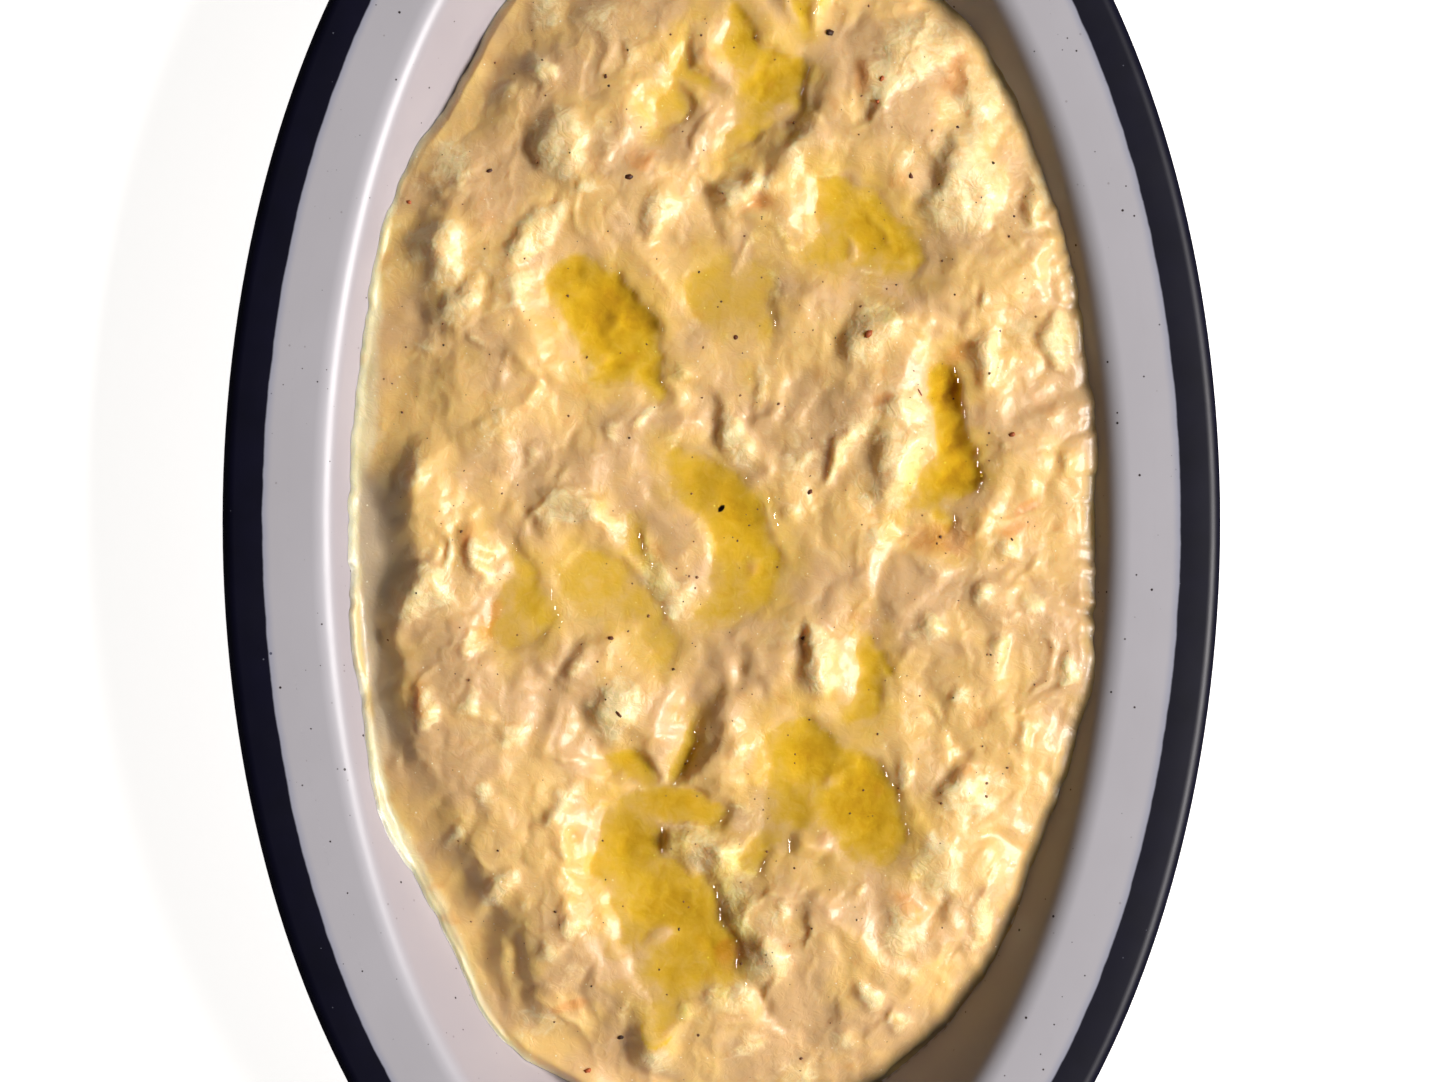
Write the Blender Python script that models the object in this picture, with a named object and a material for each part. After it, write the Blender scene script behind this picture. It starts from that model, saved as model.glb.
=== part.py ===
"""Baba ganoush in an oval enamelled dish.

The dish is pressed from steel sheet and enamelled: a flat foot, a sloping well, a level lip and a bead
rolled under its edge. The dip fills the well as an uneven heap, level across the middle and rounding down
to its edge on the wall. Olive oil lies on it in pools, each in its own hollow.

Metres, +Z up. The dish stands on z = 0, centred on the origin, with its length along Y.
"""

import math

import bmesh
import bpy
from mathutils import Vector

MM = 0.001

# The dish. Every ring of it is an oval, drawn in from the outline by an inset that is the same all round.
DISH_LENGTH = 237 * MM
DISH_WIDTH = 140 * MM
DISH_SEGMENTS = 56
LIP_HEIGHT = 29 * MM
SHEET = 1.2 * MM
BEAD_RADIUS = 1.9 * MM
BEAD_STEPS = 7
SHOULDER_INSET = 14.7 * MM
SHOULDER_RADIUS = 4.5 * MM
WALL_SLOPE = math.radians(50)
FLOOR_RADIUS = 12 * MM
FILLET_STEPS = 3
FOOT_WIDTH = 5 * MM
FOOT_RECESS = 0.6 * MM
FLOOR_HEIGHT = SHEET + FOOT_RECESS

# The dip. Its outline is an oval with a slight waver, set a little towards the back.
DIP_HALF_WIDTH = 52.3 * MM
DIP_HALF_LENGTH = 89.8 * MM
DIP_SET_BACK = 1.3 * MM
DIP_WAVER = 0.008
DIP_BELOW_LIP = 1.2 * MM
DIP_EDGE = 0.8 * MM
DIP_ROUNDING = 8
DIP_GAP = 0.5 * MM
DIP_CELLS = (24, 44)

# The lumps of aubergine under the paste: centre x and y, half length, half width and rise in millimetres,
# then the turn in degrees. The last ones are hollows, with a negative rise.
LUMPS = (
    (-23, 54, 6.5, 5.5, 2.6, 70),
    (-39, 43, 9.5, 5.5, 2.2, 60),
    (-27, 37, 6.5, 4.0, 2.4, 48),
    (5, 47, 8.0, 4.5, 1.8, 15),
    (32, 64, 7.5, 5.0, 2.2, 70),
    (34, 48, 8.5, 6.5, 2.8, 70),
    (22, 27, 7.0, 4.5, 2.4, 35),
    (38, 22, 6.0, 5.0, 2.2, 60),
    (10, 12, 9.0, 4.0, 2.2, -55),
    (34, -3, 6.5, 4.5, 2.6, 10),
    (-42, -20, 9.0, 5.0, 2.4, 85),
    (3, -22, 5.0, 4.5, 2.4, 0),
    (13, -20, 7.0, 4.0, 2.4, -62),
    (36, -30, 11.0, 6.0, 2.2, 80),
    (5, -41, 8.0, 4.5, 2.2, 10),
    (-30, -50, 6.5, 5.5, 2.2, 30),
    (26, -57, 7.5, 6.0, 2.4, -30),
    (6, -66, 9.0, 5.5, 2.4, -45),
    (-14, 76, 8.0, 6.0, 2.2, -30),
    (-47, -6, 8.0, 3.0, -3.0, 88),
    (-31, -61, 8.0, 3.0, -2.6, -60),
    (25, 54, 9.0, 3.2, -2.2, 58),
    (-2, 20, 11.0, 3.0, -2.2, -60),
    (26, -1, 4.0, 3.5, -2.6, 20),
)

# The pools of oil: centre x and y, half length and half width in millimetres, then the turn in degrees.
POOLS = (
    (-16.1, 28.1, 11.2, 6.0, -58),
    (4.3, 61.3, 9.4, 5.2, 88),
    (19.7, 40.1, 8.4, 5.8, -50),
    (0.5, 31.1, 6.6, 5.4, 75),
    (31.4, 11.5, 9.8, 3.6, 86),
    (-28.6, -10.9, 6.6, 3.8, 98),
    (-15.4, -9.0, 7.6, 4.6, -48),
    (0.6, -2.5, 13.2, 5.8, -73),
    (19.4, -23.4, 5.2, 2.6, 82),
    (14.6, -38.4, 11.0, 6.6, -46),
    (-9.3, -52.6, 14.2, 7.6, -72),
)
POOL_SUNK = 0.3 * MM
POOL_EDGE = 0.5 * MM
POOL_DEPTH = 1.2 * MM
POOL_RIPPLE = 0.07
POOL_GAP = 0.3 * MM
POOL_CELLS = (6, 6)
CUTTER_HEADROOM = 9 * MM

ENAMEL = ("enamel", (0.50, 0.47, 0.50, 1), 0.15, 0.0)
PASTE = ("aubergine_paste", (0.74, 0.48, 0.22, 1), 0.35, 0.0)
OIL = ("olive_oil", (0.62, 0.42, 0.03, 1), 0.05, 0.0)


def clear_scene():
    for old in list(bpy.data.objects):
        bpy.data.objects.remove(old)


def material(name, colour, roughness, metallic):
    """A Principled material, made once for each name."""
    made = bpy.data.materials.get(name) or bpy.data.materials.new(name)
    made.use_nodes = True
    shader = made.node_tree.nodes["Principled BSDF"]
    shader.inputs["Base Color"].default_value = colour
    shader.inputs["Roughness"].default_value = roughness
    shader.inputs["Metallic"].default_value = metallic
    return made


def add_object(name, bm, finish):
    """Turns a bmesh into a named object with its finish."""
    bmesh.ops.recalc_face_normals(bm, faces=bm.faces)
    mesh = bpy.data.meshes.new(name)
    bm.to_mesh(mesh)
    bm.free()
    mesh.shade_smooth()
    mesh.materials.append(material(*finish))
    made = bpy.data.objects.new(name, mesh)
    bpy.context.scene.collection.objects.link(made)
    return made


def extend(bm, edges, move):
    """Extrudes a loop of edges, places each new vertex by move(old place) and gives the new loop."""
    made = bmesh.ops.extrude_edge_only(bm, edges=edges)["geom"]
    verts = {item for item in made if isinstance(item, bmesh.types.BMVert)}
    for vert in verts:
        vert.co = move(vert.co)
    return [item for item in made if isinstance(item, bmesh.types.BMEdge) and verts.issuperset(item.verts)]


def arc(centre, radius, start, end, steps):
    """Points (inset, height) on an arc, both ends included. Angles are from +inset towards +height."""
    turns = [start + (end - start) * i / steps for i in range(steps + 1)]
    return [(centre[0] + radius * math.cos(t), centre[1] + radius * math.sin(t)) for t in turns]


def well_profile(lip, floor, shoulder_radius, floor_radius, shoulder_inset):
    """Points (inset, height) from the level lip over the shoulder, down the wall and into the floor."""
    bend = math.tan(WALL_SLOPE / 2)
    up = math.pi / 2
    run = (lip - floor) / math.tan(WALL_SLOPE)
    shoulder = (shoulder_inset - shoulder_radius * bend, lip - shoulder_radius)
    foot = (shoulder_inset + run + floor_radius * bend, floor + floor_radius)
    return (
        arc(shoulder, shoulder_radius, up, up - WALL_SLOPE, FILLET_STEPS)
        + arc(foot, floor_radius, -up - WALL_SLOPE, -up, FILLET_STEPS)
    )


WELL = well_profile(LIP_HEIGHT, FLOOR_HEIGHT, SHOULDER_RADIUS, FLOOR_RADIUS, SHOULDER_INSET)


def inset_at(x, y):
    """The inset of the dish's oval that passes through a place."""
    low, high = 0.0, DISH_WIDTH / 2
    for _ in range(40):
        middle = (low + high) / 2
        reach = math.hypot(x / (DISH_WIDTH / 2 - middle), y / (DISH_LENGTH / 2 - middle))
        low, high = (middle, high) if reach < 1 else (low, middle)
    return low


def on_oval(inset, height, near):
    """The point of the oval at an inset and a height that lies abreast of another point."""
    now = inset_at(near.x, near.y)
    turn = math.atan2(near.y / (DISH_LENGTH / 2 - now), near.x / (DISH_WIDTH / 2 - now))
    half_width, half_length = DISH_WIDTH / 2 - inset, DISH_LENGTH / 2 - inset
    return Vector((half_width * math.cos(turn), half_length * math.sin(turn), height))


def wall_height(x, y):
    """The height of the dish's wall at a place."""
    wall_top, wall_foot = WELL[FILLET_STEPS], WELL[FILLET_STEPS + 1]
    share = (inset_at(x, y) - wall_top[0]) / (wall_foot[0] - wall_top[0])
    return wall_top[1] + (wall_foot[1] - wall_top[1]) * share


def dish_section():
    """Points (inset, height) from the middle of the underside, out round the bead, to the floor."""
    underside = well_profile(
        LIP_HEIGHT - SHEET, 0.0, SHOULDER_RADIUS - SHEET, FLOOR_RADIUS + SHEET,
        SHOULDER_INSET - SHEET * math.tan(WALL_SLOPE / 2),
    )
    foot_inner = underside[-1][0] + FOOT_WIDTH
    recess = [(foot_inner + FOOT_RECESS, FOOT_RECESS), (foot_inner, 0.0)]
    centre = (BEAD_RADIUS, LIP_HEIGHT - BEAD_RADIUS)
    underneath = math.asin((BEAD_RADIUS - SHEET) / BEAD_RADIUS)
    bead = arc(centre, BEAD_RADIUS, underneath, -1.5 * math.pi, BEAD_STEPS)
    return recess + underside[::-1] + bead + WELL


def make_dish():
    """One sheet from the underside over the bead to the floor, closed in the middle of both."""
    bm = bmesh.new()
    bmesh.ops.create_circle(bm, segments=DISH_SEGMENTS, radius=DISH_WIDTH / 4)
    first, *others = dish_section()
    for vert in bm.verts:
        turn = math.atan2(vert.co.y, vert.co.x)
        half_width, half_length = DISH_WIDTH / 2 - first[0], DISH_LENGTH / 2 - first[0]
        vert.co = (half_width * math.cos(turn), half_length * math.sin(turn), first[1])
    edges = list(bm.edges)
    bmesh.ops.edgeloop_fill(bm, edges=edges)
    for inset, height in others:
        edges = extend(bm, edges, lambda near: on_oval(inset, height, near))
    bmesh.ops.edgeloop_fill(bm, edges=edges)
    return add_object("oval_dish", bm, ENAMEL)


def disc_grid(cells):
    """A square grid rounded into a flat disc of radius one."""
    bm = bmesh.new()
    bmesh.ops.create_grid(bm, x_segments=cells[0], y_segments=cells[1], size=1.0)
    for vert in bm.verts:
        u, v = vert.co.x, vert.co.y
        vert.co.x = u * math.sqrt(1 - v * v / 2)
        vert.co.y = v * math.sqrt(1 - u * u / 2)
    return bm


def dip_place(u, v):
    """Lays a point of the unit disc out on the dip's wavering oval."""
    turn = math.atan2(v, u)
    waver = 1 + DIP_WAVER * (math.sin(5 * turn + 0.6) + 0.6 * math.cos(9 * turn))
    return u * DIP_HALF_WIDTH * waver, v * DIP_HALF_LENGTH * waver + DIP_SET_BACK


def dip_swell(u, v):
    """The heap without its lumps: level in the middle, rounding down to its edge on the wall."""
    level = LIP_HEIGHT - DIP_BELOW_LIP
    reach = math.hypot(u, v)
    if reach == 0:
        return level
    edge = wall_height(*dip_place(u / reach, v / reach)) + DIP_GAP + DIP_EDGE
    return level + (edge - level) * reach ** DIP_ROUNDING


def turned(x, y, turn):
    """A place in the axes of something turned by that many degrees."""
    c, s = math.cos(math.radians(turn)), math.sin(math.radians(turn))
    return x * c + y * s, y * c - x * s


def lumps(x, y):
    """How far the lumps and hollows raise or lower the dip at a place."""
    lift = 0.0
    for centre_x, centre_y, half_length, half_width, rise, turn in LUMPS:
        along, across = turned(x / MM - centre_x, y / MM - centre_y, turn)
        lift += rise * MM * math.exp(-((along / half_length) ** 2) - (across / half_width) ** 2)
    return lift


def make_dip():
    """The uneven surface, with a skirt from its edge down the wall and across the floor."""
    bm = disc_grid(DIP_CELLS)
    for vert in bm.verts:
        u, v = vert.co.x, vert.co.y
        x, y = dip_place(u, v)
        inner = 1 - min(1.0, math.hypot(u, v)) ** DIP_ROUNDING
        vert.co = (x, y, dip_swell(u, v) + lumps(x, y) * inner)
    edges = [edge for edge in bm.edges if edge.is_boundary]
    edges = extend(bm, edges, lambda near: Vector((near.x, near.y, wall_height(near.x, near.y) + DIP_GAP)))
    for inset, height in WELL[FILLET_STEPS + 1:]:
        edges = extend(bm, edges, lambda near: on_oval(inset, height + DIP_GAP, near))
    bmesh.ops.edgeloop_fill(bm, edges=edges)
    return add_object("baba_ganoush", bm, PASTE)


def make_pool(name, pool, gap=0.0, headroom=0.0):
    """A pool of oil with a level top and a dished bottom, or with a gap and headroom its cutter."""
    centre_x, centre_y, half_length, half_width, turn = pool

    def place(u, v):
        ripple = 1 + POOL_RIPPLE * math.sin(3 * math.atan2(v, u) + centre_x)
        x, y = turned(u * (half_length * MM + gap) * ripple, v * (half_width * MM + gap) * ripple, -turn)
        return x + centre_x * MM, y + centre_y * MM

    tips = [place(1, 0), place(-1, 0)]
    level = min(dip_swell(x / DIP_HALF_WIDTH, (y - DIP_SET_BACK) / DIP_HALF_LENGTH) for x, y in tips)
    level -= POOL_SUNK
    bm = disc_grid(POOL_CELLS)
    surface = list(bm.faces)
    for vert in bm.verts:
        reach = vert.co.xy.length_squared
        depth = POOL_EDGE + POOL_DEPTH * max(0.0, 1 - reach)
        vert.co = (*place(vert.co.x, vert.co.y), level - depth - gap)
    top = bmesh.ops.extrude_face_region(bm, geom=surface, use_keep_orig=True)["geom"]
    for vert in (item for item in top if isinstance(item, bmesh.types.BMVert)):
        vert.co.z = level + headroom
    return add_object(name, bm, OIL)


def sink_pools(dip):
    """Lays each pool in the dip and cuts its hollow, a gap wider than the pool."""
    for number, pool in enumerate(POOLS, 1):
        make_pool(f"olive_oil_{number:02d}", pool)
        cutter = make_pool(f"hollow_cutter_{number:02d}", pool, POOL_GAP, CUTTER_HEADROOM)
        cutter.hide_render = True
        cutter.display_type = "WIRE"
        cut = dip.modifiers.new(f"hollow_{number:02d}", "BOOLEAN")
        cut.operation = "DIFFERENCE"
        cut.object = cutter


clear_scene()
make_dish()
sink_pools(make_dip())
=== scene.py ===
"""Baba ganoush in an oval enamelled dish: the finished look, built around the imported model.

Metres, +Z up. The relief of the dip is worked out in millimetres, because its lumps are a few of them.
"""

import math

import bmesh
import bpy
import numpy as np
from mathutils import Matrix, Vector


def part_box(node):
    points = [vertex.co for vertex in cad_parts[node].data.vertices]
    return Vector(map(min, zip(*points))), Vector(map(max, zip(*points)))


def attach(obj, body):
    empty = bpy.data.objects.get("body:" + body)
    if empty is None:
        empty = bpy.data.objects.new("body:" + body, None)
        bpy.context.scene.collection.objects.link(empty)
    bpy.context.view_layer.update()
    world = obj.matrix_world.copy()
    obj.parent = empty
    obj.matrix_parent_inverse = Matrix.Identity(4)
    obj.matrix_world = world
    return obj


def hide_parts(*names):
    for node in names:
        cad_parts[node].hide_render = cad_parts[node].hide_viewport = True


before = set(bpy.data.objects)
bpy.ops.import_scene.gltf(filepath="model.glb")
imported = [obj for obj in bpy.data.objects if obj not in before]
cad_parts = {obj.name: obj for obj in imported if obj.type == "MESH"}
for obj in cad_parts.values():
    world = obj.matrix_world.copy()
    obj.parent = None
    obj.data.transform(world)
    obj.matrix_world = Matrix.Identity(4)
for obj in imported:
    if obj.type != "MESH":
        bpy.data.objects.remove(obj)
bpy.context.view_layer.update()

MM = 0.001
scene = bpy.context.scene


# --------------------------------------------------- the dish
# A long pie dish pressed from one steel sheet, its edge rolled into a bead. Speckled pale grey enamel
# covers it all over, and a navy coat is brushed on over the bead and a few millimetres inside it.

dish_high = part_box("oval_dish")[1]
DISH_HALF_WIDTH = dish_high.x / MM
DISH_HALF_LENGTH = dish_high.y / MM
BEAD_RADIUS = 1.9
LIP = dish_high.z / MM
SHEET = 1.2
SHOULDER_INSET = 14.7
SHOULDER_RADIUS = 4.5
WALL_SLOPE = math.radians(50)
FLOOR_RADIUS = 12.0
FOOT_WIDTH = 5.0
FOOT_RECESS = 0.6
FLOOR = SHEET + FOOT_RECESS
DISH_SEGMENTS = 224
BEAD_STEPS = 30
FILLET_STEPS = 10
NAVY_WIDTH = 5.8
COAT_EDGE_RINGS = (-0.6, 1.2)


def arc(centre, radius, start, end, steps):
    """Points (inset, height) on an arc, both ends included, from +inset towards +height."""
    turns = [start + (end - start) * i / steps for i in range(steps + 1)]
    return [(centre[0] + radius * math.cos(t), centre[1] + radius * math.sin(t)) for t in turns]


def well_profile(lip, floor, shoulder_radius, floor_radius, shoulder_inset):
    """Points (inset, height) from the level lip over the shoulder, down the wall and into the floor."""
    bend = math.tan(WALL_SLOPE / 2)
    up = math.pi / 2
    run = (lip - floor) / math.tan(WALL_SLOPE)
    shoulder = (shoulder_inset - shoulder_radius * bend, lip - shoulder_radius)
    foot = (shoulder_inset + run + floor_radius * bend, floor + floor_radius)
    return (
        arc(shoulder, shoulder_radius, up, up - WALL_SLOPE, FILLET_STEPS)
        + arc(foot, floor_radius, -up - WALL_SLOPE, -up, FILLET_STEPS)
    )


WELL = well_profile(LIP, FLOOR, SHOULDER_RADIUS, FLOOR_RADIUS, SHOULDER_INSET)


def dish_section():
    """Points (inset, height) from the middle of the underside, out round the bead, to the floor."""
    underside = well_profile(
        LIP - SHEET, 0.0, SHOULDER_RADIUS - SHEET, FLOOR_RADIUS + SHEET,
        SHOULDER_INSET - SHEET * math.tan(WALL_SLOPE / 2),
    )
    foot_inner = underside[-1][0] + FOOT_WIDTH
    recess = [(foot_inner + FOOT_RECESS, FOOT_RECESS), (foot_inner, 0.0)]
    centre = (BEAD_RADIUS, LIP - BEAD_RADIUS)
    underneath = math.asin((BEAD_RADIUS - SHEET) / BEAD_RADIUS)
    bead = arc(centre, BEAD_RADIUS, underneath, -1.5 * math.pi, BEAD_STEPS)
    lip = [(NAVY_WIDTH + away, LIP) for away in COAT_EDGE_RINGS]
    return recess + underside[::-1] + bead + lip + WELL


def extend(bm, edges):
    """Extrudes a loop of edges and gives the new vertices and the new loop."""
    made = bmesh.ops.extrude_edge_only(bm, edges=edges)["geom"]
    verts = [item for item in made if isinstance(item, bmesh.types.BMVert)]
    inside = set(verts)
    loop = [item for item in made if isinstance(item, bmesh.types.BMEdge) and inside.issuperset(item.verts)]
    return verts, loop


def add_piece(name, bm, material, slot, *nodes):
    """Turns a bmesh into a smooth piece that rides on the root body and stands for the given nodes."""
    bmesh.ops.recalc_face_normals(bm, faces=bm.faces)
    mesh = bpy.data.meshes.new(name)
    bm.to_mesh(mesh)
    bm.free()
    mesh.shade_smooth()
    mesh.materials.append(material)
    made = bpy.data.objects.new(name, mesh)
    scene.collection.objects.link(made)
    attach(made, "root")
    if nodes:
        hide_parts(*nodes)
    return made


def set_inputs(tree, made, inputs):
    """Links each input of a node to a socket, or sets it to a value."""
    for key, source in inputs.items():
        if isinstance(source, bpy.types.NodeSocket):
            tree.links.new(source, made.inputs[key])
        else:
            made.inputs[key].default_value = source


def node(tree, kind, inputs=None, **settings):
    """Adds a shader node, with its settings and inputs."""
    made = tree.nodes.new(kind)
    for key, value in settings.items():
        setattr(made, key, value)
    set_inputs(tree, made, inputs or {})
    return made


def stored(tree, name):
    """A value that the mesh stores for each of its vertices."""
    return node(tree, "ShaderNodeAttribute", attribute_name=name).outputs["Fac"]


def calc(tree, operation, first, second=0.0, third=0.0, clamp=False):
    """The output of a Math node."""
    inputs = {0: first, 1: second, 2: third}
    return node(tree, "ShaderNodeMath", inputs, operation=operation, use_clamp=clamp).outputs[0]


def fade(tree, value, start, end):
    """Goes smoothly from 0 to 1 as a value goes from start to end."""
    inputs = {"Value": value, "From Min": start, "From Max": end}
    return node(tree, "ShaderNodeMapRange", inputs, interpolation_type="SMOOTHSTEP").outputs[0]


def blend(tree, factor, first, second):
    """Mixes two colours."""
    inputs = {0: factor, 6: first, 7: second}
    return node(tree, "ShaderNodeMix", inputs, data_type="RGBA").outputs[2]


def lay_over(tree, colour, mask, share, over):
    """Lays a colour over another where a mask is, as far as the share says."""
    return blend(tree, calc(tree, "MULTIPLY", mask, share), colour, over)


def bump(tree, height, strength, distance):
    """The normals of a surface with this fine relief."""
    inputs = {"Height": height, "Strength": strength, "Distance": distance}
    return node(tree, "ShaderNodeBump", inputs).outputs[0]


def noise(tree, place, size, detail=2.0, roughness=0.5, distortion=0.0):
    """The value of a noise whose waves have about the given size in metres."""
    inputs = {"Vector": place, "Scale": 1 / size, "Detail": detail, "Roughness": roughness,
              "Distortion": distortion}
    return node(tree, "ShaderNodeTexNoise", inputs).outputs["Fac"]


def srgb(red, green, blue):
    """A colour given as it shows on a screen, from 0 to 255."""
    def linear(value):
        value /= 255
        return value / 12.92 if value <= 0.04045 else ((value + 0.055) / 1.055) ** 2.4
    return (linear(red), linear(green), linear(blue), 1.0)


def new_material(name):
    """A material with its Principled shader, and the place on the piece that its patterns follow."""
    made = bpy.data.materials.new(name)
    made.use_nodes = True
    tree = made.node_tree
    place = node(tree, "ShaderNodeTexCoord").outputs["Object"]
    return made, tree, tree.nodes["Principled BSDF"], place


def group_of_specks():
    """Sparse round specks: inputs for their spacing, size and share of places, and a mask as output."""
    tree = bpy.data.node_groups.new("Sparse specks", "ShaderNodeTree")
    for name in ("Spacing", "Size", "Share"):
        tree.interface.new_socket(name, in_out="INPUT", socket_type="NodeSocketFloat")
    tree.interface.new_socket("Mask", in_out="OUTPUT", socket_type="NodeSocketFloat")
    given = node(tree, "NodeGroupInput")
    place = node(tree, "ShaderNodeTexCoord").outputs["Object"]
    scale = calc(tree, "DIVIDE", 1.0, given.outputs["Spacing"])
    cells = node(tree, "ShaderNodeTexVoronoi", {"Vector": place, "Scale": scale})
    lots = node(tree, "ShaderNodeSeparateColor", {0: cells.outputs["Color"]})
    distance = calc(tree, "MULTIPLY", cells.outputs["Distance"], given.outputs["Spacing"])
    smallest = calc(tree, "MULTIPLY_ADD", lots.outputs[1], 0.6, 0.4)
    radius = calc(tree, "MULTIPLY", given.outputs["Size"], smallest)
    depth = calc(tree, "DIVIDE", calc(tree, "SUBTRACT", radius, distance), given.outputs["Size"])
    spot = fade(tree, depth, 0.0, 0.35)
    chosen = calc(tree, "LESS_THAN", lots.outputs[0], given.outputs["Share"])
    mask = calc(tree, "MULTIPLY", spot, chosen)
    node(tree, "NodeGroupOutput", {"Mask": mask})
    return tree


SPECKS = group_of_specks()


def specks(tree, spacing, size, share):
    """The mask of a group of specks with its own values."""
    inputs = {"Spacing": spacing, "Size": size, "Share": share}
    return node(tree, "ShaderNodeGroup", inputs, node_tree=SPECKS).outputs["Mask"]


def make_enamel():
    """Glossy pale enamel with burnt specks, a little darker down the wall, and a navy coat that bleeds a
    little.
    """
    made, tree, shader, place = new_material("speckled enamel")
    from_edge = stored(tree, "from_edge")
    pale = blend(tree, noise(tree, place, 0.018, 3), srgb(174, 172, 177), srgb(183, 181, 187))
    on_the_wall = fade(tree, from_edge, SHOULDER_INSET - 0.5, SHOULDER_INSET + 1.5)
    pale = blend(tree, on_the_wall, pale, srgb(171, 164, 168))
    dark_dots = specks(tree, 2.3 * MM, 0.24 * MM, 0.75)
    faint_dots = specks(tree, 1.9 * MM, 0.22 * MM, 0.5)
    pale = lay_over(tree, pale, faint_dots, 0.35, srgb(96, 84, 80))
    pale = blend(tree, dark_dots, pale, srgb(52, 44, 44))

    uneven = calc(tree, "SUBTRACT", noise(tree, place, 0.0035, 3), 0.5)
    edge = calc(tree, "MULTIPLY_ADD", uneven, 0.35, from_edge)
    bleed = fade(tree, edge, NAVY_WIDTH + 1.3, NAVY_WIDTH - 0.1)
    navy_cover = fade(tree, edge, NAVY_WIDTH + 0.18, NAVY_WIDTH - 0.12)
    navy = blend(tree, noise(tree, place, 0.006, 4), srgb(4, 4, 17), srgb(13, 12, 34))
    scuffs = specks(tree, 1.6 * MM, 0.16 * MM, 0.12)
    navy = lay_over(tree, navy, scuffs, 0.5, srgb(120, 122, 136))
    colour = lay_over(tree, pale, bleed, 0.45, srgb(120, 130, 160))
    colour = blend(tree, navy_cover, colour, navy)

    satin = calc(tree, "MULTIPLY_ADD", noise(tree, place, 0.009, 4), 0.1, 0.26)
    roughness = calc(tree, "MULTIPLY_ADD", navy_cover, 0.12, satin)
    ripple = noise(tree, place, 0.007, 2)
    set_inputs(tree, shader, {
        "Base Color": colour,
        "Roughness": roughness,
        "Specular IOR Level": 0.3,
        "Normal": bump(tree, ripple, 0.12, 0.4 * MM),
    })
    return made


def make_dish():
    """The section carried round the oval, ring by ring, and closed in the middle of both floors."""
    bm = bmesh.new()
    inset_of = bm.verts.layers.float.new("from_edge")
    ring = bmesh.ops.create_circle(bm, segments=DISH_SEGMENTS, radius=1.0)["verts"]
    first_edges = list(bm.edges)
    edges = first_edges
    size = Vector((1.0, 1.0))
    height = 0.0
    for number, (inset, level) in enumerate(dish_section()):
        if number > 0:
            ring, edges = extend(bm, edges)
        new_size = Vector((DISH_HALF_WIDTH - inset, DISH_HALF_LENGTH - inset)) * MM
        bmesh.ops.scale(bm, vec=(new_size.x / size.x, new_size.y / size.y, 1.0), verts=ring)
        bmesh.ops.translate(bm, vec=(0, 0, level * MM - height), verts=ring)
        size, height = new_size, level * MM
        for vert in ring:
            vert[inset_of] = inset
    for loop in (first_edges, edges):
        bmesh.ops.edgeloop_fill(bm, edges=loop)
    add_piece("enamelled_dish", bm, make_enamel(), "enamel", "oval_dish")


make_dish()


# ---------------------------------------------------- the dip
# Roasted aubergine mashed into tahini. Smooth beige paste lies between paler lumps of the flesh, which
# it coats. It was spooned in and spread, so it climbs the wall in a thin film along one side.

dip_low, dip_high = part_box("baba_ganoush")
DIP_CENTRE_Y = (dip_low.y + dip_high.y) / 2 / MM
DIP_HALF_WIDTH = (dip_high.x - dip_low.x) / 2 / MM
DIP_HALF_LENGTH = (dip_high.y - dip_low.y) / 2 / MM
DIP_LEVEL = LIP - 1.2
DIP_CELLS = (236, 398)

# The dip's edge: how sharply it rounds down, its height over the wall, its gap to the enamel, the film
# there, the widths of its rounding, of the sag on the right and of the left edge, and the ends' drop.
DIP_ROUNDING = 8
EDGE_ABOVE_WALL = 1.3
WALL_GAP = 0.04
FILM = 0.3
EDGE_ROUND = 2.4
SAG_WIDTH = 9.0
LEFT_EDGE_WIDTH = 18
END_DROP = 1.8

# Heights of the paste's own relief, from broad swells down to its grain.
SWELL = 0.9
PUFF = 0.7
SMALL_PUFF = 0.2
GRAIN = 0.06
FINE_GRAIN = 0.02
PULLED_RIDGE = 0.4

# What the mesh stores for its material: the paler lumps, the bright film on the left wall, the greyish
# fringe beside it, the painted shadow of the dish's shoulder along the right edge, the browner, orange
# bits, partly painted shading, and the depth of oil over it.
MASKS = ("lump", "film", "fringe", "painted_shoulder_shadow", "warm_tone_and_shade", "oil")

# Where the outline bulges (or draws in): direction and half spread in degrees, and how many mm.
BULGES = (
    (58, 9, 1.5), (36, 14, 1), (12, 10, 0.7), (122, 7, -1.7), (141, 9, 0.6), (-158, 9, 0.8),
    (-139, 10, 2.1), (-113, 6, 2.4), (-14, 8, 0.6), (-26, 8, 1.6), (-39, 8, 0.9), (-61, 10, 1.9),
    (-72, 5, 0.8),
)

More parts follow.
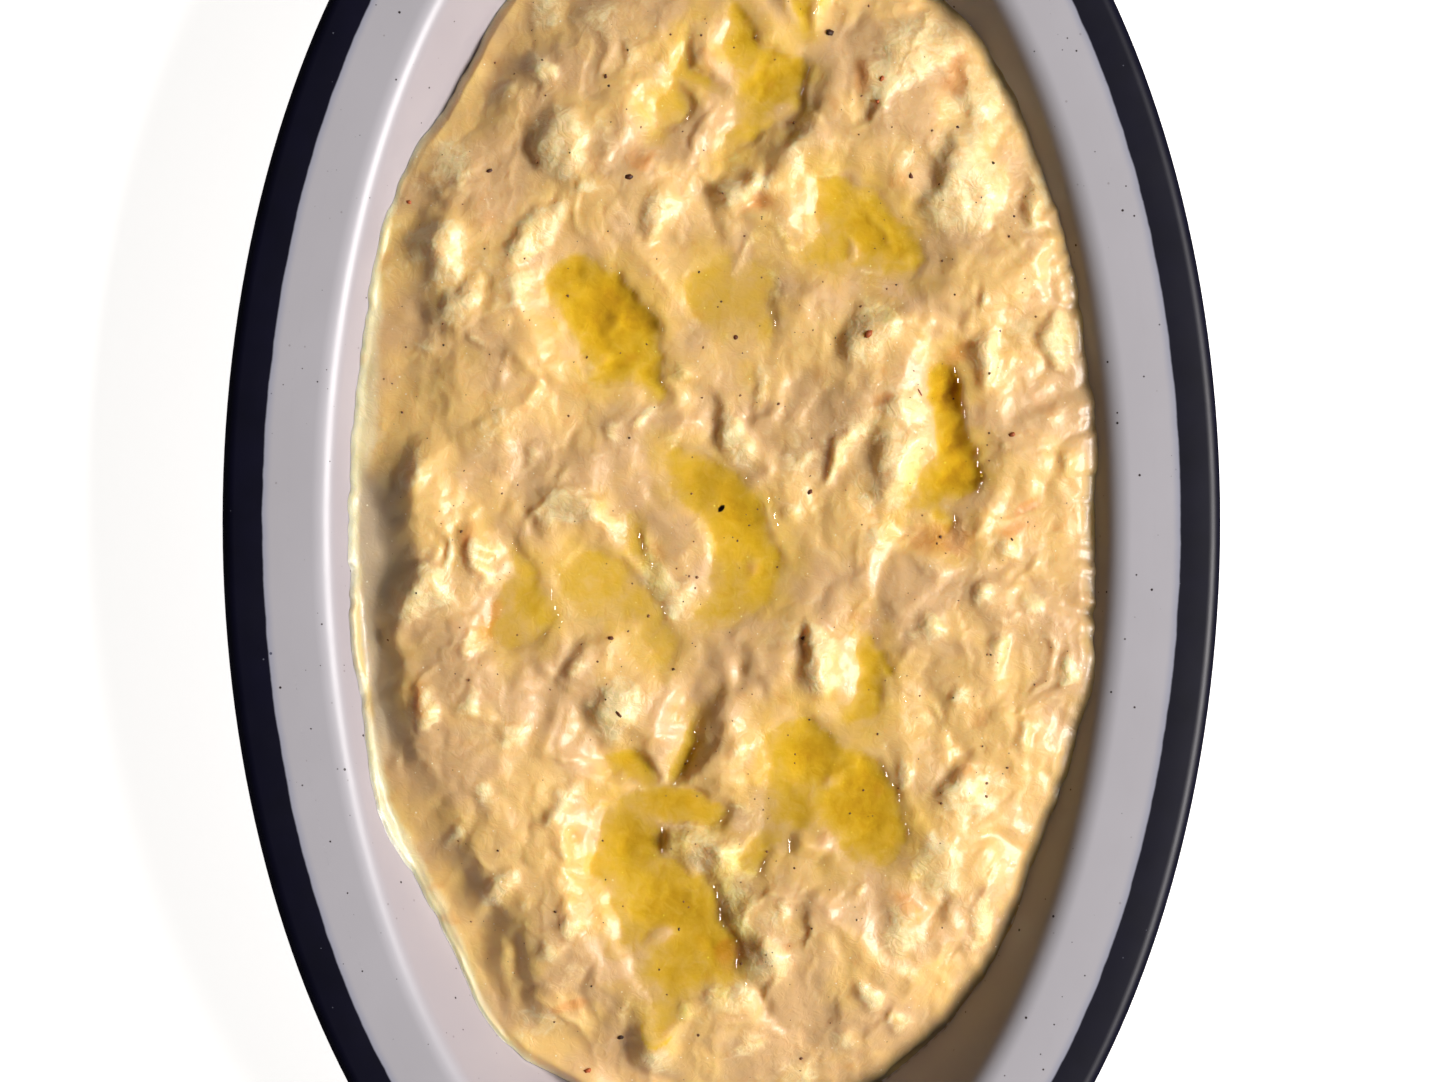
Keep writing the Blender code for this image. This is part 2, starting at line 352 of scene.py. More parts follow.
# The left edge, where a bright film runs up the wall and a shallow dip or a deep trough lies inside it:
# place along the dish, the film's width, the depth below the dip's level, and how far in from the edge
# the bank starts and ends.
LEFT_EDGE = (
    (78, 1, 6.4, 1, 12), (70, 0.8, 5.6, 0.6, 12), (60, 0.8, 4.4, 0.6, 12),
    (50, 0.8, 2.6, 0.8, 12), (46, 0.8, 2.6, 1.4, 10), (40, 1.2, 2.5, 2.2, 8),
    (33, 1.8, 2.5, 2, 11), (26, 2.4, 2.6, 1, 14), (20, 3.2, 2.6, 0.8, 15.5),
    (12, 3.6, 2.6, 0.8, 15.5), (8, 2.8, 2.5, 1.2, 11), (5, 2.2, 2.5, 2.2, 9.6),
    (1, 2, 2.5, 4.2, 10.4), (-8, 1.5, 2.7, 4.2, 11), (-12, 0.9, 2.9, 4.2, 8.6),
    (-19, 0.8, 2.9, 3.8, 7.6), (-26, 0.8, 2.6, 3.2, 7.2), (-31, 2, 2.5, 2.8, 8),
    (-36, 2.3, 2.4, 2.2, 10.5), (-40, 2.3, 2.6, 2, 12), (-46, 2.5, 4, 2.6, 12),
    (-52, 2.8, 4.8, 3.6, 11), (-57, 2.4, 5.8, 3.4, 9.4), (-62, 2, 6.6, 3.2, 8.6),
    (-67, 1.4, 6.8, 3.8, 8.6), (-72, 1, 7, 2.6, 8.6), (-80, 0.8, 7.4, 2.4, 9),
)

# Lumps of aubergine: centre x and y, half length, half width, rise, turn in degrees, and how far the
# top leans down to the right, from 0, an even dome, to 1, a facet with its crest on the left.
LUMPS = (
    # back left
    (-24.5, 73, 3.6, 3, 1.5, 80, 0.3), (-24.6, 63.6, 3.4, 2.8, 1.7, 60, 0.5),
    (-31.8, 59.8, 3.2, 1.9, 1, 42, 0.4), (-22.1, 52.6, 5.4, 4.8, 2.5, 70, 0.2),
    (-37.6, 50.6, 6.2, 4, 1, 42, 0.1), (-14.8, 53.6, 2.8, 1.3, 0.7, 50, 0.5),
    (-9.7, 52.2, 2.2, 1, 0.5, 60, 0.5), (-12.3, 67.4, 4, 1.3, 0.9, 68, 0.4),
    (-8.2, 64, 3.2, 1.2, 0.8, 40, 0.4), (-16.6, 71.5, 4.5, 3.2, 0.8, 20, 0.2),
    (-38.8, 38.4, 5.2, 4.4, 2.1, 30, 0.2), (-25.4, 39.6, 6.8, 2.6, 2, 54, 0.8),
    (-9, 43.6, 4.4, 2.4, 1.5, 62, 0.8), (-18.8, 46, 2.4, 1.8, 0.8, 0, 0.2),
    (-36.2, 31.8, 4.2, 1.5, 1.5, 64, 0.3), (-41.4, 24.8, 2.4, 1.2, 0.9, 62, 0.4),
    (-34, 25.4, 2.5, 1.4, 0.9, -55, 0.4), (-27.6, 32, 3.4, 2.4, 1.2, 40, 0.5),
    # back right
    (28, 66, 8.5, 5.6, 1.9, 20, 0.1), (21.8, 61.2, 3, 2.4, 1.4, 70, 0.5),
    (28.6, 70.4, 3, 1.4, 0.8, 30, 0.3), (36.6, 60, 5.2, 3.6, 2, 65, 0.2),
    (34.4, 47.6, 8.6, 5.6, 2.3, 78, 0.3), (44.4, 45.6, 5, 2.8, 1.5, 78, 0.2),
    (3.9, 47.6, 6, 3, 1.6, 14, 0.1), (11.2, 55.4, 2.6, 1.4, 0.9, 70, 0.4),
    (35.4, 42, 2.6, 1.8, 0.8, 30, 0.4), (9.4, 39, 3.4, 1, 0.9, -62, 0.5),
    (4.4, 38.4, 3.6, 1.1, 0.9, 52, 0.4), (37.1, 31.6, 2.4, 1.2, 1, 80, 0.4),
    (21.2, 26.7, 5.6, 3.4, 1.8, 40, 0.7), (46.8, 25.4, 4.2, 3.2, 1.8, 60, 0.2),
    (37.9, 23.2, 3.8, 3.2, 1.9, 80, 0.3),
    # the middle, left of centre
    (-31.4, 14, 5.4, 1.8, 0.8, 96, 0.4), (-27.2, 9.2, 2.2, 1.1, 0.7, 62, 0.4),
    (-20.8, 6.6, 2.8, 1.4, 0.7, 80, 0.4), (-14.4, 13, 2.8, 1.5, 0.9, 96, 0.6),
    (-10.2, 15, 3.2, 1.5, 1.1, 60, 0.6), (-5.2, 21.2, 2.8, 2, 1.2, -50, 0.5),
    (-6.2, 11.6, 1.6, 1.2, 0.8, 70, 0.3), (-49, 14, 6, 2.4, 0.7, 88, 0),
    (-43.6, 6.4, 3.4, 2.2, 1.1, 50, 0.3), (-19.4, 0.6, 6.4, 3.4, 1.5, -8, 0),
    (-41.6, -10.6, 4.8, 4.2, 2, 80, 0.1), (-37.9, -5, 4.2, 1.2, 1.2, 72, 0.4),
    (-33, -6, 4.6, 1.3, 1.3, 78, 0.5), (-34.8, -17.6, 3, 1.5, 1, 10, 0.4),
    (-19, -19.2, 2.4, 1.4, 0.9, 80, 0.4), (-7.2, -8.4, 7, 2.3, 1.7, -68, 0.5),
    (-41.4, -25.6, 4, 2.9, 1.9, 0, 0.1), (-33.8, -25.8, 2.8, 2.2, 1.2, 60, 0.5),
    (-14.2, -26, 5.6, 4, 1.9, 60, 0.6), (-32.2, -38.4, 2.6, 1.8, 0.9, 60, 0.5),
    (-22.3, -39.8, 2.6, 1.8, 1, 40, 0.5), (-36.6, -43.8, 2.2, 1.2, 0.8, 40, 0.4),
    (-22, -45.6, 3.2, 1.5, 0.9, 80, 0.5),
    # the middle, right of centre
    (3.2, 11, 7.2, 2.4, 1.5, -55, 0.5), (6, 19.4, 3.2, 1.2, 1.2, 66, 0.4),
    (11.2, 9.6, 3, 1.8, 1.2, 70, 0.5), (17.4, 10.2, 5.4, 1.7, 1.6, 62, 0.5),
    (25.4, 8.2, 6.6, 3.2, 1.9, 70, 0.3), (26.6, 17.2, 3.8, 2.8, 1.6, 40, 0.1),
    (10.4, 1.3, 2.4, 1.2, 0.8, 32, 0.5), (20.8, 2.2, 2.2, 1.5, 1, 50, 0.5),
    (21.6, -2.6, 2.6, 2.2, 1.2, 70, 0.7), (39.6, 10, 1.4, 1.3, 0.8, 0, 0),
    (49.4, 7.8, 3.4, 1.3, 0.8, 66, 0), (32.6, -1.4, 3.4, 2.4, 1.2, 12, 0.2),
    (40.2, -3, 3.6, 2.4, 1.2, -10, 0.2), (14.4, -20, 6.6, 2.9, 2, -64, 0.4),
    (28.8, -14.4, 3.6, 2.4, 1.5, 70, 0.6), (38, -10.4, 2.6, 2, 1.2, 60, 0.5),
    (38.8, -17, 2.8, 2.2, 1.3, 70, 0.5), (44.2, -13, 3.4, 1.4, 0.9, 66, 0.3),
    (48, -21, 4, 1.9, 1.2, 78, 0.2), (23.2, -21, 3.6, 0.8, 0.9, -62, 0.2),
    (25.6, -35.6, 5, 1.4, 1.2, 92, 0.5), (35.8, -37.4, 4.6, 3.8, 1.9, 60, 0.4),
    (34, -25.4, 2, 1.5, 1, 80, 0.4), (2.3, -31.2, 2.2, 1.6, 1, 70, 0.7), (43, -30, 3, 2, 1.1, 40, 0.2),
    # the front
    (-4.6, -44.4, 5.8, 3.1, 1.2, 6, 0.1), (0.8, -47, 4.4, 2.4, 1.5, -28, 0.5),
    (2, -53.6, 4.8, 2.6, 1.5, -62, 0.6), (6.2, -61.4, 5, 3.8, 1.7, -48, 0.3),
    (1.6, -67.2, 3.6, 2.6, 1.7, -40, 0.6), (8.9, -54.2, 2.4, 1.4, 0.9, 60, 0.3),
    (18.9, -52.2, 1.4, 1.3, 0.8, 0, 0.3), (30.4, -48.2, 4.8, 3.8, 1.6, -30, 0.2),
    (26.2, -57.2, 4.9, 3.4, 1.8, -38, 0.4), (36.2, -56.8, 5.2, 1.8, 1.4, 68, 0.3),
    (20.8, -66.4, 3, 2.2, 1.2, -30, 0.4), (25.6, -71, 3, 2, 1.1, -20, 0.4),
    (18.6, -73.4, 2.6, 1.8, 1.1, 10, 0.5), (-5, -68.8, 2.8, 2, 1.2, 50, 0.5),
    (-12.8, -69.6, 3.4, 2.6, 0.7, 40, 0.5), (-30.2, -51.8, 4, 2.6, 1.5, 30, 0.3),
    (-20.9, -55.4, 3, 1.9, 1.2, 62, 0.5), (-24.1, -60.4, 3, 2, 1.2, 70, 0.4),
    (-25, -71, 5.6, 3.2, 1, 20, 0.1), (4.6, -75, 3.4, 1.8, 1.1, 30, 0.4), (-8, -77, 4, 2.6, 1.1, 0, 0.3),
    (12, -79, 5, 3, 1.2, -20, 0.3), (-2, 78, 6, 3.6, 1.2, 10, 0.3), (15, 80, 5, 3.4, 1.3, -20, 0.3),
    (-15, 81, 4.4, 3, 1.2, 30, 0.3),
)

# Hollows and creases: centre x and y, half length, half width, depth and turn in degrees.
HOLLOWS = (
    (-28.8, 54, 5, 1.6, 0.9, 80), (-2.9, 47.4, 4.6, 1, 1, 100), (5.6, 44.8, 2.2, 1.6, 1.1, 20),
    (18.4, 62, 6, 2, 1.2, 100), (26, 50.4, 5, 1.8, 1.3, 110), (31.4, 57.6, 3, 1.4, 1, 60),
    (32.8, 23, 4, 1.6, 1.3, 100), (41.4, 27.4, 3.2, 1.2, 1.2, 70), (-3.6, 16.4, 8, 1.5, 1.4, -58),
    (5.6, 2.6, 5, 1.5, 1.2, -60), (9.6, 17, 4.6, 1.5, 0.9, 70), (21, 12, 7.6, 1.5, 1.3, 60),
    (20.4, 1.4, 3, 1.4, 1.2, 90), (27.4, -1, 2.6, 2.2, 1.7, 20), (-26.4, 0.2, 4, 1.4, 1.1, 100),
    (-12, 3.4, 5, 1.6, 0.7, -20), (-3.8, -21, 5.6, 1.6, 1.6, 84), (9.4, -18.4, 5.4, 1.5, 0.8, -66),
    (28.4, -24, 7, 1.7, 1, 92), (31.2, -38, 4, 1.6, 0.6, 80), (35.2, -31.8, 1.3, 1.1, 1.1, 0),
    (-18.6, -27.6, 4.4, 1.1, 0.9, -60), (3, -22.6, 2, 1.8, 1.2, 0), (-36.8, -50.4, 3, 2, 1.5, -60),
    (-33, -57, 5, 1.8, 2.4, -62), (-29, -65, 5.4, 1.7, 2.6, -66), (-31, -56, 2.4, 1.8, 1.6, -40),
    (-19.8, -66.8, 5, 1, 0.9, -66), (4.6, -66.6, 9, 1, 1.3, -42), (13.6, -68.4, 3.6, 2.2, 0.8, 60),
    (-44.6, -32, 4, 1.6, 0.8, 100), (-25, -24, 6, 2.4, 0.6, 80), (13, -2, 6, 3, 0.5, 80),
)

# Browner, orange bits: partly flesh of that colour, partly painted shading in hollows and on the shaded
# left sides of lumps. Centre x and y, half length, half width and turn in degrees.
BROWNED_AND_SHADED_BITS = (
    (31.6, -1.8, 4.4, 2.6, 12), (33.2, 23.4, 2.6, 1.7, 80), (23.8, 18.2, 2, 1.3, 60),
    (41.2, -0.4, 2.8, 1.6, 20), (42.4, 3, 1.8, 1.2, 70), (19.6, 62.4, 2.2, 1.5, 80),
    (5.6, 45.2, 2.2, 1.6, 10), (33.6, 62.6, 3, 1.8, 60), (35.2, -35.2, 1.6, 1.2, 0), (1, -60.6, 2, 3, -40),
    (-20.4, -69, 2.6, 1.6, 20), (-42, -24.2, 3, 1.6, 70), (-34.4, -3.4, 3.8, 1.1, 86),
    (-32, -14.8, 3.4, 1.4, 80), (26.4, -55, 3.6, 2, -38), (-11.6, 51.4, 3, 1.6, 40),
)


def local(x, y, mid_x, mid_y, turn):
    """A place in the axes of something with this centre and turn."""
    c, s = math.cos(math.radians(turn)), math.sin(math.radians(turn))
    x, y = x - mid_x, y - mid_y
    return x * c + y * s, y * c - x * s


def waves(x, y, size, seed, turn=0.0, stretch=1.0):
    """Smooth random waves from about -1 to 1, of one size, or drawn out along a turned direction."""
    along, across = local(x, y, 0, 0, turn)
    along, across = along / (size * stretch), across / size
    count = 101
    posts = np.random.default_rng(seed).uniform(-1, 1, (count, count))
    i, j = np.floor(along).astype(int), np.floor(across).astype(int)
    u, v = along - i, across - j
    u = u * u * u * (u * (u * 6 - 15) + 10)
    v = v * v * v * (v * (v * 6 - 15) + 10)
    near, far = i % count, (i + 1) % count
    left, right = j % count, (j + 1) % count
    low = posts[near, left] * (1 - u) + posts[far, left] * u
    high = posts[near, right] * (1 - u) + posts[far, right] * u
    return low * (1 - v) + high * v


def ease(value, start, end):
    """Goes smoothly from 0 to 1 as a value goes from start to end."""
    t = np.clip((value - start) / (end - start), 0, 1)
    return t * t * (3 - 2 * t)


def smooth_max(first, second, round_off):
    """The higher of two surfaces, with a rounded crease between them."""
    gap = np.abs(first - second)
    return np.maximum(first, second) + np.maximum(round_off - gap, 0) ** 2 / (4 * round_off)


def inset_at(x, y):
    """The inset of the dish's oval that passes through a place."""
    low = np.zeros_like(x)
    high = np.full_like(x, DISH_HALF_WIDTH)
    for _ in range(30):
        middle = (low + high) / 2
        inside = np.hypot(x / (DISH_HALF_WIDTH - middle), y / (DISH_HALF_LENGTH - middle)) < 1
        low, high = np.where(inside, middle, low), np.where(inside, high, middle)
    return low


def wall_height(x, y):
    """The height of the dish's inner surface at a place."""
    insets, heights = zip(*WELL)
    return np.interp(inset_at(x, y), insets, heights)


def outline_reach(x, y):
    """How far out a place lies, from 0 in the middle of the dip to 1 on its uneven outline."""
    y = y - DIP_CENTRE_Y
    direction = np.degrees(np.arctan2(y, x))
    plain = np.hypot(x / DIP_HALF_WIDTH, y / DIP_HALF_LENGTH)
    radius = np.hypot(x, y) / np.maximum(plain, 1e-6)
    bulge = np.zeros_like(x)
    for centre, spread, amount in BULGES:
        off = (direction - centre + 180) % 360 - 180
        bulge += amount * np.exp(-((off / spread) ** 2))
    turn = np.radians(direction)
    ring_x, ring_y = 40 * np.cos(turn), 40 * np.sin(turn)
    bulge += 0.22 * waves(ring_x, ring_y, 2.6, 11)
    bulge += 0.2 * waves(ring_x, ring_y, 1.1, 12)
    return plain * radius / (radius + bulge), radius + bulge


def lumps_over(x, y, lumps, round_off):
    """The joined tops of lumps on flat ground, each steeper on its left and fading out to the right."""
    lift = np.zeros_like(x)
    for mid_x, mid_y, half_length, half_width, rise, turn, lean in lumps:
        size = max(half_length, half_width)
        near = np.flatnonzero((np.abs(x - mid_x) < size * 1.4) & (np.abs(y - mid_y) < size * 1.4))
        shift = 0.28 * lean
        off = x[near] - mid_x + shift * size
        off = np.where(off < 0, off / (1 - shift), off / (1 + shift))
        along, across = local(off, y[near], 0, mid_y, turn)
        reach = (along / (1.15 * half_length)) ** 2 + (across / (1.28 * half_width)) ** 2
        fading = 1.35 + 0.5 * ease(off / size, -0.3, 0.6)
        dome = np.clip(1 - reach, 0, 1) ** fading
        lift[near] = smooth_max(lift[near], 0.95 * rise * dome, round_off)
    return lift


def hollows_in(x, y):
    """How deep the hollows and creases are at a place."""
    depth = np.zeros_like(x)
    for mid_x, mid_y, half_length, half_width, deep, turn in HOLLOWS:
        along, across = local(x, y, mid_x, mid_y, turn)
        depth += 0.7 * deep * np.exp(-((along / half_length) ** 2) - (across / half_width / 1.25) ** 2)
    return depth


def scattered_lumps(seed, count, smallest, largest, steepness):
    """Bits of flesh, most of them on the right and in the middle of the front."""
    lots = np.random.default_rng(seed)
    x = lots.uniform(-52, 52, count)
    y = lots.uniform(-88, 90, count)
    chance = 0.45 + 0.45 * ease(x, 14, 34) + 0.35 * waves(x, y, 17, 21)
    chance += 0.3 * ease(-y, 42, 60) * ease(x, -22, 0)
    kept = lots.uniform(0, 1, count) < chance
    for mid_x, mid_y in zip(x[kept], y[kept]):
        size = lots.uniform(smallest, largest)
        narrow = lots.uniform(0.45, 0.9)
        rise = size * narrow * steepness * lots.uniform(0.7, 1.3)
        yield mid_x, mid_y, size, size * narrow, rise, lots.normal(66, 30), lots.uniform(0.1, 0.6)


# The pools that the oil stands in, by the node that holds each one: how deep it is, then its lobes, each
# with its centre x and y, half length, half width and turn in degrees.
POOLS = {
    "olive_oil_01": (1.25, (
        (-16.4, 28.2, 10.4, 5.6, -56), (-13.2, 28.8, 4.8, 3.4, -50), (-20.8, 33.8, 4.2, 3, 70),
        (-10.2, 20.8, 4.2, 2.4, -78), (-15.6, 21.8, 4, 3.2, 20))),
    "olive_oil_02": (0.8, (
        (6.5, 60.8, 4.9, 5.2, 0), (3.4, 56.4, 4.8, 2.3, 60), (2.8, 68, 5.4, 2.2, 95),
        (-2, 61.7, 4.4, 1.2, -18), (-5.3, 64.4, 3.6, 1, 78), (9.6, 63, 2.8, 1.9, 60),
        (-7.2, 58, 3.6, 2.2, 70), (11.4, 71.4, 3, 1.3, 86))),
    "olive_oil_03": (0.75, (
        (19.5, 40.4, 8, 5.6, -45), (24.2, 38.4, 5.2, 3.4, -60), (16.8, 45.6, 3.8, 2.2, -50),
        (16, 38, 5.4, 3, 14))),
    "olive_oil_04": (0.12, (
        (-1.5, 32, 5.2, 3.8, 80), (4.3, 31.4, 6, 3, 75), (6.2, 26.4, 3.4, 1.4, 80))),
    "olive_oil_05": (2.1, (
        (31.4, 17.6, 5.2, 2.7, 104), (32.2, 11, 6.6, 2.9, 92), (31.8, 6, 4.2, 3.6, 20),
        (29.6, 4.2, 3.6, 1.6, 40), (31.2, 0.4, 2.8, 1.3, -60))),
    "olive_oil_06": (0.3, (
        (-27.3, -11.4, 5.9, 3.1, 97), (-30.1, -12, 4.8, 2.2, 85), (-28.8, -15.8, 3.6, 2.4, 0),
        (-29.4, -5.4, 2.4, 0.9, 110))),
    "olive_oil_07": (0.15, (
        (-17.8, -8.9, 5.2, 4.6, -40), (-9.2, -15, 5, 2.4, -68), (-13, -11.3, 4.4, 2.8, -35),
        (-11.8, -2.8, 4.2, 1.1, -72))),
    "olive_oil_08": (0.68, (
        (-3.8, 5.4, 6, 3.4, -50), (2, 0.8, 7, 4.4, -60), (3.5, -7, 6.8, 5.2, -95),
        (0.8, -12.8, 4.4, 3, 20))),
    "olive_oil_09": (1.1, (
        (20.7, -21.6, 5.4, 2.2, 92), (19.2, -26.4, 3, 1.6, 40), (22.9, -19.8, 2.6, 0.9, -65))),
    "olive_oil_10": (0.85, (
        (12, -33.2, 7.2, 5, -45), (19.2, -40.4, 9, 6.2, -60), (9.2, -40.6, 6.6, 3.6, -70),
        (5.4, -45.8, 4.6, 1.8, 60), (12, -45.6, 3.4, 1.8, -50))),
    "olive_oil_11": (0.72, (
        (-6.8, -39.8, 8, 2.3, -8), (-13.6, -46, 6.8, 5.2, 80), (-8, -55.6, 9.4, 7.4, -68),
        (-6.6, -63.8, 5.6, 4.2, 10), (-1.8, -59, 7.2, 3.4, -65), (-12.4, -34.6, 4.6, 1.8, -30),
        (-5.6, -32.4, 4.6, 1.4, 70), (-8, -68.6, 3.4, 1.6, 70))),
}
OIL_SUNK = 0.3
BROAD_LOBE = 4.2
FAR_OUTSIDE = -9.0
PAST_SHORE = -0.3
BANK_HEIGHT = 0.1

# What rises from the bottom of a pool, under the oil or out of it, given as the lumps are.
POOL_BUMPS = (
    (4.4, -6.6, 2, 1.5, 0.35, 60, 0.2), (-8.2, -58.6, 2.6, 1.8, 0.5, 30, 0.3),
    (12.5, -45.4, 2.6, 2.3, 1.3, 60, 0.3), (-21, 33, 1.4, 1.2, 0.4, 0, 0.2),
    (15.5, -36, 2.4, 1.2, 0.4, 50, 0.2), (22.5, 41, 3.4, 0.9, 0.4, -60, 0.2),
    (18.5, 38.5, 3, 0.8, 0.4, -70, 0.2), (5.4, 60.5, 3, 0.9, 0.25, 30, 0.2),
    (8.4, 58.6, 2.4, 0.9, 0.25, 60, 0.2), (-14.5, 27, 3.6, 1.4, 0.4, -60, 0.2),
)


def pool_depth(x, y, lobes):
    """How far inside a pool a place lies: 0 on the shore, up to 1 in the middle of a broad lobe, and
    negative outside. A narrow lobe is shallower."""
    best = np.full_like(x, FAR_OUTSIDE)
    for mid_x, mid_y, half_length, half_width, turn in lobes:
        along, across = local(x, y, mid_x, mid_y, turn)
        broad = min(1.0, min(half_length, half_width) / BROAD_LOBE)
        inside = (1 - np.hypot(along / half_length, across / half_width)) * broad
        best = smooth_max(best, inside, 0.25)
    return best


def oil_level(name):
    """The height of a pool's surface."""
    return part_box(name)[1].z / MM - OIL_SUNK


def puffs(wave):
    """Turns waves into rounded puffs that meet in creases."""
    return 1.5 * (np.sqrt(wave * wave + 0.02) - 0.36)


def push(x, y, steps, seeds, turns):
    """Waves of a few sizes added up: each step is their height and their size."""
    rows = zip(steps, seeds, turns)
    return sum(height * waves(x, y, size, seed, turn) for (height, size), seed, turn in rows)


def ragged(x, y):
    """Places pushed about in small steps, which makes the shores of the pools ragged."""
    steps = ((0.8, 3.6), (0.3, 1.6), (0.1, 0.8))
    push_x = push(x, y, steps, (51, 52, 53), (15, 50, 0))
    push_y = push(x, y, steps, (54, 55, 56), (40, 70, 0))
    return x + push_x, y + push_y


def bent(x, y):
    """Places pushed about, which makes the outlines of lumps uneven."""
    steps = ((1.6, 5.0), (0.7, 2.3), (0.16, 1.0))
    push_x = push(x, y, steps, (33, 34, 35), (15, 50, 0))
    push_y = push(x, y, steps, (36, 46, 47), (40, 70, 0))
    return x + push_x, y + push_y


def browned_and_shaded_bits_in(x, y):
    """How much of the browner, orange tone, partly painted shading, there is at a place."""
    most = np.zeros_like(x)
    for mid_x, mid_y, half_length, half_width, turn in BROWNED_AND_SHADED_BITS:
        along, across = local(x, y, mid_x, mid_y, turn)
        reach = np.hypot(along / half_length, across / half_width)
        most = np.maximum(most, 1 - ease(reach, 0.5, 1.2))
    return most


def dip_ground(x, y, reach):
    """The dip's broad form: nearly level, rounded down to the wall and lower towards both ends."""
    edge_x = x / np.maximum(reach, 1e-6)
    edge_y = (y - DIP_CENTRE_Y) / np.maximum(reach, 1e-6) + DIP_CENTRE_Y
    edge = np.minimum(wall_height(edge_x, edge_y) + EDGE_ABOVE_WALL, DIP_LEVEL)
    ground = DIP_LEVEL + (edge - DIP_LEVEL) * np.clip(reach, 0, 1) ** DIP_ROUNDING
    towards_end = ease(np.abs(y - DIP_CENTRE_Y), 52, 88)
    return ground + (SWELL * waves(x, y, 12.0, 31, 28) - END_DROP * towards_end)


def mash_relief(x, y, bent_at, lumpy):
    """The relief of the paste itself, rougher over lumps and on the right, with pulled-up ridges."""
    grainy = 0.8 + 0.25 * np.clip(lumpy + 0.5 * ease(x, 20, 36), 0, 1)
    mash = PUFF * puffs(waves(*bent_at, 6.8, 32, 62, 1.3))
    mash += grainy * SMALL_PUFF * puffs(waves(*bent_at, 3.5, 37, 40, 1.1))
    mash += grainy * GRAIN * waves(*bent_at, 1.9, 38, 75, 1.2)
    mash += grainy * FINE_GRAIN * waves(x, y, 1.0, 39, 70, 1.4)
    pulled = np.exp(-((waves(*bent_at, 9.0, 61, 58, 1.8) / 0.09) ** 2))
    mash += PULLED_RIDGE * pulled * ease(waves(x, y, 7.0, 62), -0.1, 0.5)
    return mash


def sink_pool(height, x, y, shore_x, shore_y, bumps, name):
    """The surface with a pool's low banks and hollow pressed into it, and how far inside the pool it is.

    A pool is steepest along its back right shore, and deepest on that side.
    """
    deep, lobes = POOLS[name]
    level = oil_level(name)
    low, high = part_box(name)
    middle = (low + high) / 2 / MM
    inside = pool_depth(shore_x, shore_y, lobes)
    steep = pool_depth(shore_x - 1.2, shore_y - 0.9, lobes)
    steep = ease(steep - pool_depth(shore_x + 1.2, shore_y + 0.9, lobes), -0.2, 0.4)
    bank = ease(inside, -0.85, -0.12)
    low_bank = level + BANK_HEIGHT + (0.3 + 0.12 * steep) * (height - level - BANK_HEIGHT)
    height = height * (1 - bank) + np.maximum(low_bank, level + BANK_HEIGHT / 2) * bank
    deeper = np.clip(0.85 + 0.06 * (x - middle.x) + 0.04 * (y - middle.y), 0.35, 1.4)
    deeper *= 1 + 0.3 * waves(shore_x, shore_y, 3.6, 57)
    depth = np.clip(inside, 0, 1) ** (0.95 - 0.3 * steep)
    bottom = level - 0.03 - deep * deeper * depth
    bottom += 0.12 * deep * puffs(waves(shore_x, shore_y, 2.6, 41, 20)) + 0.03 * waves(x, y, 1.1, 48)
    bottom = np.minimum(bottom, level - 0.3 * np.clip(inside + 0.06, 0, 0.3)) + bumps
    cover = ease(inside, -0.22, 0.08)
    return height * (1 - cover) + bottom * cover, inside


def left_edge(x, y, inward, wall, height):
    """The surface along the left edge, and the masks of its bright film and its greyish fringe."""
    along, *columns = zip(*sorted(LEFT_EDGE))
    width, below, starts, ends = [np.interp(y, along, column) for column in columns]
    trough = DIP_LEVEL - below + 0.2 * waves(x, y, 3.2, 43)
    wander = 0.8 * waves(x, y, 6.0, 44) + 0.5 * waves(x, y, 2.3, 49)
    starts, ends = starts + wander, ends + wander
    rise = 0.5 * ease(inward, starts, ends) + 0.5 * np.clip((inward - starts) / (ends - starts), 0, 1)
    film_top = wall + (0.5 + 0.25 * waves(x, y, 4.0, 58)) * ease(inward, 0.0, 0.8)
    surface = smooth_max(film_top, trough, 0.8) * (1 - rise) + height * rise
    surface = film_top + (surface - film_top) * ease(inward, -0.6, 1.8)
    film = 1 - ease(inward, width - 0.8 + 0.5 * wander, width + 0.6 + 0.5 * wander)
    outermost = ease(-y, 2, 10) * ease(y, -34, -26) * (1 - ease(inward, 0.3, 1.1))
    thin = (1 - rise) * ease(inward, 1.0, 2.0) * ease(-y, -10, -4) * ease(y, -36, -28)
    return surface, film, np.maximum(outermost, thin)


